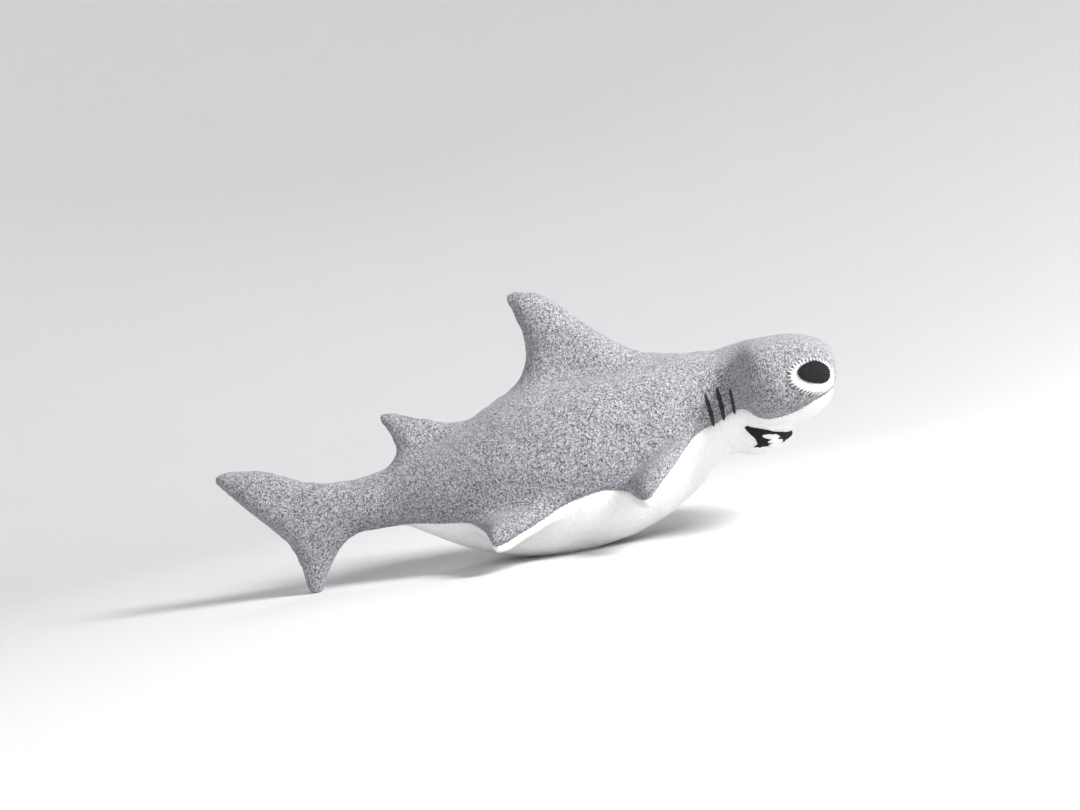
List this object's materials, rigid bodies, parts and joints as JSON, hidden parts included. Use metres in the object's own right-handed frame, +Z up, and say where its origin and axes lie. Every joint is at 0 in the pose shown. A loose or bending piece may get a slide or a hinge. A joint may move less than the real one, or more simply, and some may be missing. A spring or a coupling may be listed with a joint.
{
  "type": "stuffed hammerhead shark",
  "caption": "Sewn fleece hammerhead shark toy with grey back, white belly, felt eyes and mouth, stitched gills and a tail that flexes sideways.",
  "frame": {"origin": "under the middle of the toy, on the surface that its belly rests on", "axes": "+X to the nose, +Y to the shark's left side, +Z up"},
  "size_m": [0.3445, 0.1336, 0.1483],
  "materials": {
    "grey_fleece": "heather grey brushed fleece",
    "white_fleece": "white brushed fleece",
    "white_felt": "white craft felt",
    "black_felt": "charcoal craft felt",
    "black_thread": "black embroidery thread",
    "white_thread": "white sewing thread",
    "grey_thread": "grey sewing thread",
    "stuffing": "polyester fibre"
  },
  "bodies": {
    "body": {"left_side_panel": "grey_fleece", "right_side_panel": "grey_fleece", "belly_panel": "white_fleece", "head_stuffing": "stuffing", "body_stuffing": "stuffing", "dorsal_fin_stuffing": "stuffing", "back_seam_thread": "grey_thread", "left_belly_seam_rear_thread": "grey_thread", "closing_stitch_thread": "grey_thread", "left_belly_seam_front_thread": "grey_thread", "right_belly_seam_thread": "grey_thread", "left_eye_patch": "white_felt", "right_eye_patch": "white_felt", "left_pupil": "black_felt", "right_pupil": "black_felt", "left_eye_patch_thread": "white_thread", "right_eye_patch_thread": "white_thread", "left_pupil_thread": "black_thread", "right_pupil_thread": "black_thread", "mouth": "black_felt", "left_teeth": "white_felt", "right_teeth": "white_felt", "left_rear_gill_stitch": "black_thread", "right_rear_gill_stitch": "black_thread", "left_middle_gill_stitch": "black_thread", "right_middle_gill_stitch": "black_thread", "left_front_gill_stitch": "black_thread", "right_front_gill_stitch": "black_thread"},
    "tail": {"tail_stuffing": "stuffing", "tail_seam_thread": "grey_thread"}
  },
  "joints": [
    {"name": "tail_sway", "type": "hinge", "parent": "body", "child": "tail", "pos_m": [-0.097, 0, 0.044], "axis": [0, 0, 1], "range_deg": [-30, 30], "stiffness_Nm_per_rad": 0.05, "deforming": ["left_side_panel", "right_side_panel"]}
  ]
}
